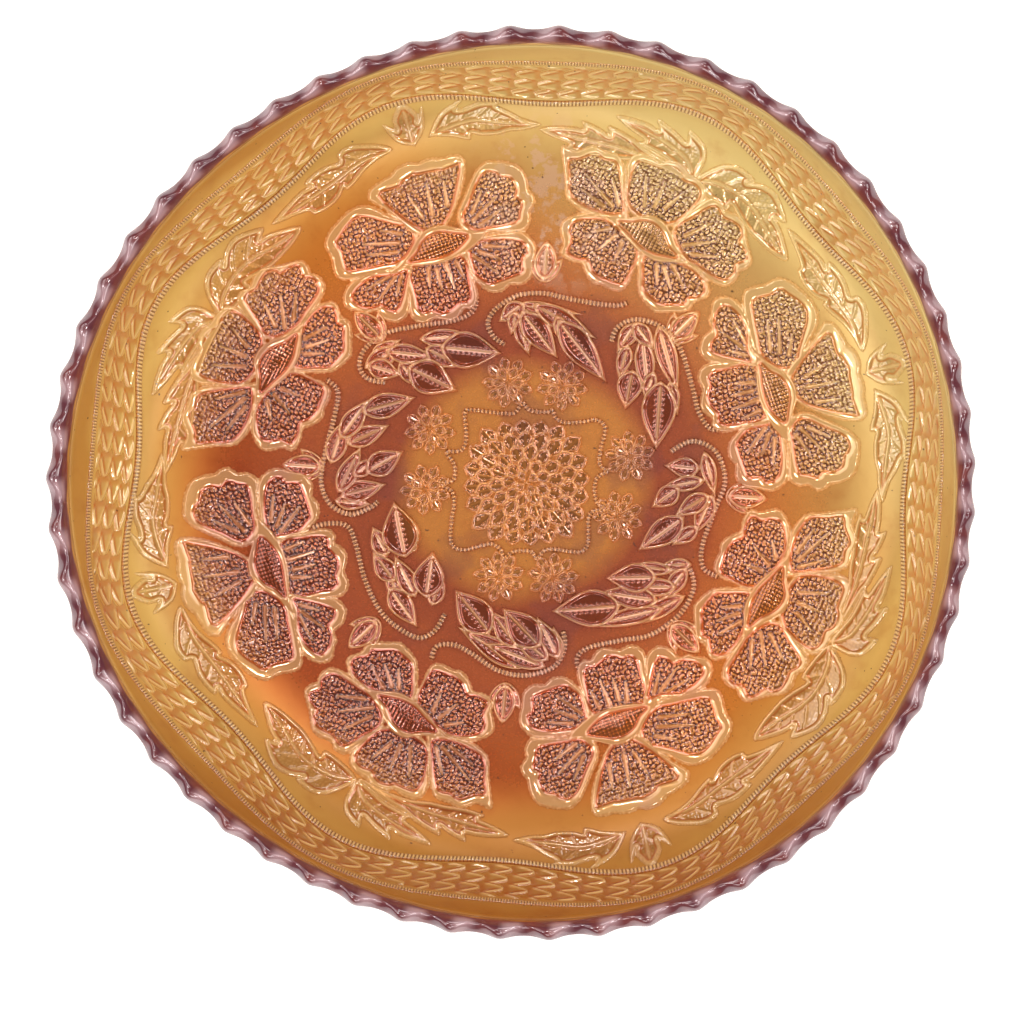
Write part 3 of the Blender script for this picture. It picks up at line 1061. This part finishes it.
class BOWL_OT_sprays(bpy.types.Operator):
    """Mould the sprays of leaves outside the flowers"""

    bl_idname = "glass_bowl.sprays"
    bl_label = "Outer Sprays"

    def execute(self, context):
        kinds = (
            moulded((-44, 89.5), (41, 114.5), 0.3, spray_shape(SPRAY_WITH_BUD), 3.2),
            moulded((-43, 86), (40, 110), 0.3, spray_shape(SPRAY_OF_LEAVES), 3.2),
        )
        for i, (angle, _) in enumerate(FLOWER_AT):
            mesh = lay_flat_relief(kinds[i % 2], radians(angle))
            glass = finish_of("film_on_leaves", "relief")
            into_scene(f"bowl_outer_spray_{i + 1}", mesh, glass, "leaf_glass", f"outer_spray_{i + 1}")
        return {"FINISHED"}


class BOWL_OT_buds(bpy.types.Operator):
    """Mould a small bud in its two leaves between each pair of flowers"""

    bl_idname = "glass_bowl.buds"
    bl_label = "Buds"

    def execute(self, context):
        for i, (angle, _) in enumerate(FLOWER_AT):
            turn = radians(angle + (25 if i % 2 == 0 else 21.5))
            lobes = ((0.4, 56, -4.9, 63.6, 1.8), (-0.4, 56, 4.9, 63.6, 1.8), (0, 56.8, 0, 68.2, 3.3))
            mesh = moulded((-8, 53.5), (8, 70.5), 0.2, lobes_shape(lobes, relief().leaf / MM))
            mesh = lay_flat_relief(mesh, turn)
            glass = finish_of("film_on_leaves", "relief")
            into_scene(f"bowl_bud_{i + 1}", mesh, glass, "leaf_glass", f"bud_{i + 1}")
        return {"FINISHED"}


def rope(path, half, pitch, top):
    """A string of beads along a path in mm, closed underneath."""
    path = np.asarray(path)
    runs = np.hypot(*np.diff(path, axis=0).T)
    done = np.concatenate([[0], np.cumsum(runs)])
    count = ceil(done[-1] / (pitch / 6))
    bm = bmesh.new()
    bmesh.ops.create_grid(bm, x_segments=count, y_segments=8, size=0.5)
    at = np.array([v.co[:2] for v in bm.verts])
    along, across = (at[:, 0] + 0.5) * done[-1], at[:, 1] * 2
    spot = np.stack([np.interp(along, done, path[:, k]) for k in (0, 1)], axis=1)
    ahead = np.stack([np.interp(along + 0.4, done, path[:, k]) for k in (0, 1)], axis=1)
    behind = np.stack([np.interp(along - 0.4, done, path[:, k]) for k in (0, 1)], axis=1)
    way = ahead - behind
    way /= np.hypot(*way.T)[:, None]
    bead = np.abs(np.cos(pi * along / pitch))
    end = smooth(np.minimum(along, done[-1] - along) / 0.6)
    wide = half * (0.72 + 0.28 * bead) * (0.6 + 0.4 * end)
    x = spot[:, 0] - way[:, 1] * across * wide
    y = spot[:, 1] + way[:, 0] * across * wide
    lift = -0.3 + (top * (0.45 + 0.55 * bead) + 0.3) * np.sqrt(np.clip(1 - across**4, 0, 1)) * end
    for vert, co in zip(bm.verts, zip(x, y, lift)):
        vert.co = co
    tint(bm, (bead * (1 - across**2), (1 - bead) ** 0.9, smooth((np.abs(across) - 0.7) / 0.3)))
    shell = bm.faces[:]
    bottom = bmesh.ops.extrude_edge_only(bm, edges=[e for e in bm.edges if e.is_boundary])["geom"]
    for vert in bottom:
        if isinstance(vert, bmesh.types.BMVert):
            vert.co.z = SUNK
    hem = [e for e in bottom if isinstance(e, bmesh.types.BMEdge) and e.is_boundary]
    bmesh.ops.triangle_fill(bm, edges=hem, normal=(0, 0, -1))
    bmesh.ops.recalc_face_normals(bm, faces=bm.faces)
    if sum(f.normal.z for f in shell) < 0:
        bmesh.ops.reverse_faces(bm, faces=bm.faces)
    mesh = bpy.data.meshes.new("rope")
    bm.to_mesh(mesh)
    bm.free()
    return mesh


class BOWL_OT_stems(bpy.types.Operator):
    """Mould the beaded stems that curl round the middle"""

    bl_idname = "glass_bowl.stems"
    bl_label = "Stems"

    def execute(self, context):
        for i, knots in enumerate(STEMS):
            mesh = rope(curve(pairs(knots), 8), 1.1, 1.1, relief().bead / MM * 1.1)
            glass = finish_of("film_on_stems", "relief")
            into_scene(f"bowl_stem_{i + 1}", lay_flat_relief(mesh), glass, "bead_glass", f"stem_{i + 1}")
        return {"FINISHED"}


class BOWL_OT_leaves(bpy.types.Operator):
    """Mould the lobed leaves under each stem"""

    bl_idname = "glass_bowl.leaves"
    bl_label = "Inner Leaves"

    def execute(self, context):
        for i, numbers in enumerate(LEAVES):
            lobes = np.array(numbers).reshape(-1, 5) * (1, 1, 1, 1, 1.6)
            lobes[:, :2] -= 0.22 * (lobes[:, 2:4] - lobes[:, :2])
            both = np.vstack([lobes[:, :2], lobes[:, 2:4]])
            low, high = both.min(axis=0) - 4, both.max(axis=0) + 4
            mesh = moulded(low, high, 0.2, lobes_shape(lobes, relief().leaf / MM * 1.4, belly=0.75, point=1.1))
            glass = finish_of("film_on_leaves", "relief")
            into_scene(f"bowl_inner_leaves_{i + 1}", lay_flat_relief(mesh), glass, "leaf_glass", f"inner_leaves_{i + 1}")
        return {"FINISHED"}


class BOWL_OT_medallion(bpy.types.Operator):
    """Mould the beaded frame and the large flower head inside it"""

    bl_idname = "glass_bowl.medallion"
    bl_label = "Medallion"

    def execute(self, context):
        line = curve(pairs(MEDALLION_LINE), 6, closed=True)
        mesh = rope(np.vstack([line, line[:5]]), 0.85, 1.1, relief().bead / MM * 0.95)
        glass = finish_of("film_on_medallion", "relief")
        into_scene("bowl_medallion_frame", lay_flat_relief(mesh), glass, "bead_glass", "medallion_frame")
        lobes = petal_ring((0.3, 0), 20, 11.5, 18.1, 2.6, 0.07, 0.42)
        lobes += petal_ring((0.3, 0), 18, 8, 14.8, 2.5, 0.2, 0.3)
        lobes += petal_ring((0.3, 0), 14, 4.5, 11.2, 2.3, 0.1)
        lobes += petal_ring((0.3, 0), 9, 1.8, 7.4, 2.0, 0.3)
        lobes += petal_ring((0.3, 0), 4, 0, 4, 1.6, 0.6)
        shape = lobes_shape(lobes, 0.78, True, 1.35, 0.42, 0.35, point=0.95, shade=0.5, ribbed=0.08)
        mesh = moulded((-22, -22), (22, 22), 0.2, shape)
        into_scene("bowl_medallion_head", lay_flat_relief(mesh), glass, "blossom_glass", "medallion_mum")
        return {"FINISHED"}


class BOWL_OT_blossoms(bpy.types.Operator):
    """Mould the eight small blossoms round the medallion"""

    bl_idname = "glass_bowl.blossoms"
    bl_label = "Blossoms"

    def execute(self, context):
        for i, (x, y) in enumerate(pairs(BLOSSOM_AT)):
            facing = atan2(y, x)
            lobes = petal_ring((x, y), 9, 2, 7.6, 1.75, facing)
            lobes += petal_ring((x, y), 6, 0.3, 4.9, 1.6, facing + 0.35)
            shape = lobes_shape(lobes, 0.9, False, 1.3, 0.42, 0.35, point=0.9, shade=0.38, ribbed=0.12)
            mesh = moulded((x - 9, y - 9), (x + 9, y + 9), 0.19, shape)
            glass = finish_of("film_on_medallion", "relief")
            into_scene(f"bowl_blossom_{i + 1}", lay_flat_relief(mesh), glass, "blossom_glass", f"blossom_{i + 1}")
        return {"FINISHED"}


class BOWL_OT_studio(bpy.types.Operator):
    """Lay the floor and set the camera and the soft lights"""

    bl_idname = "glass_bowl.studio"
    bl_label = "Studio"

    def execute(self, context):
        look = context.scene.bowl_studio
        bm = bmesh.new()
        bmesh.ops.create_grid(bm, x_segments=1, y_segments=1, size=3)
        bmesh.ops.translate(bm, verts=bm.verts, vec=(0, 0, -FLOOR_GAP))
        mesh = bpy.data.meshes.new("studio_floor")
        bm.to_mesh(mesh)
        bm.free()
        floor = bpy.data.objects.new("studio_floor", mesh)
        context.scene.collection.objects.link(floor)
        paper = bpy.data.materials.new("white_paper")
        board = Board(paper)
        board.set(board.shader.inputs["Base Color"], (0.93, 0.93, 0.93))
        board.set(board.shader.inputs["Roughness"], 0.9)
        board.set(board.shader.inputs["Emission Color"], (1, 1, 1))
        board.set(board.shader.inputs["Emission Strength"], 0.4)
        mesh.materials.append(paper)

        lean = look.tilt
        aim = Vector((-0.0036, -0.0082, 0.012))
        eye = bpy.data.cameras.new("camera")
        camera = bpy.data.objects.new("camera", eye)
        context.scene.collection.objects.link(camera)
        camera.location = aim + Vector((sin(lean), 0, cos(lean))) * look.distance
        camera.rotation_euler = (0, lean, 0)
        eye.lens = 36 * look.distance / look.view_width
        eye.clip_start = 0.01
        context.scene.camera = camera

        # Each light: its direction from the bowl, distance, width, height and power
        lights = (
            ("large_soft_light", (-0.75, 0.25, 0.9), 1.1, 0.9, 0.7, look.key),
            ("side_soft_light", (0.8, 0.3, 0.75), 1.1, 0.5, 0.7, look.key * 0.7),
            ("low_strip_light", (-0.2, -0.9, 0.75), 1.1, 0.8, 0.2, look.key * 0.35),
            ("spark_light_left", (-0.85, -0.35, 1), 1.2, 0.14, 0.14, look.spark),
            ("spark_light_back", (-0.2, 0.75, 1), 1.2, 0.14, 0.14, look.spark),
            ("spark_light_right", (0.8, -0.25, 1), 1.2, 0.14, 0.14, look.spark),
            ("spark_light_front", (0.35, -0.85, 1.2), 1.2, 0.14, 0.14, look.spark),
            ("spark_light_top", (0.13, 0.2, 1), 1.3, 0.12, 0.12, look.spark * 0.7),
        )
        ring = [(cos(a), sin(a), 0.62) for a in np.linspace(0.3, 2 * pi + 0.3, 6, endpoint=False)]
        lights += tuple((f"low_ring_light_{i + 1}", way, 1.1, 0.5, 0.2, look.ring) for i, way in enumerate(ring))
        for name, way, far, wide, tall, power in lights:
            lamp = bpy.data.lights.new(name, "AREA")
            lamp.shape = "RECTANGLE"
            lamp.size, lamp.size_y = wide, tall
            lamp.energy = power
            obj = bpy.data.objects.new(name, lamp)
            context.scene.collection.objects.link(obj)
            obj.location = Vector(way).normalized() * far
            obj.rotation_euler = Vector(way).to_track_quat("Z", "Y").to_euler()

        world = bpy.data.worlds.new("studio_air")
        world.use_nodes = True
        air = world.node_tree.nodes["Background"]
        air.inputs["Color"].default_value = (1, 1, 1, 1)
        air.inputs["Strength"].default_value = look.sky
        context.scene.world = world
        context.scene.view_settings.view_transform = "Standard"
        return {"FINISHED"}


OPERATORS = (
    BOWL_OT_body, BOWL_OT_lip, BOWL_OT_bands, BOWL_OT_sprays, BOWL_OT_flowers, BOWL_OT_buds, BOWL_OT_stems,
    BOWL_OT_leaves, BOWL_OT_medallion, BOWL_OT_blossoms, BOWL_OT_studio,
)


class BOWL_PT_panel(bpy.types.Panel):
    """The steps that build the bowl, in order"""

    bl_idname = "BOWL_PT_panel"
    bl_label = "Carnival Glass Bowl"
    bl_space_type = "VIEW_3D"
    bl_region_type = "UI"
    bl_category = "Glass Bowl"

    def draw(self, context):
        for group in SETTINGS:
            box = self.layout.box()
            held = getattr(context.scene, group)
            for name in held.__annotations__:
                box.prop(held, name)
        for operator in OPERATORS:
            self.layout.operator(operator.bl_idname)


SETTINGS = {
    "bowl_sizes": BowlSizes,
    "bowl_relief": ReliefSizes,
    "bowl_colours": GlassColours,
    "bowl_studio": StudioSettings,
}
CLASSES = (*SETTINGS.values(), *OPERATORS, BOWL_PT_panel)


def register():
    for cls in CLASSES:
        bpy.utils.register_class(cls)
    for name, group in SETTINGS.items():
        setattr(bpy.types.Scene, name, PointerProperty(type=group))


def unregister():
    for name in SETTINGS:
        delattr(bpy.types.Scene, name)
    for cls in reversed(CLASSES):
        bpy.utils.unregister_class(cls)


def main():
    register()
    for operator in OPERATORS:
        group, step = operator.bl_idname.split(".")
        getattr(getattr(bpy.ops, group), step)()


if __name__ == "__main__":
    main()
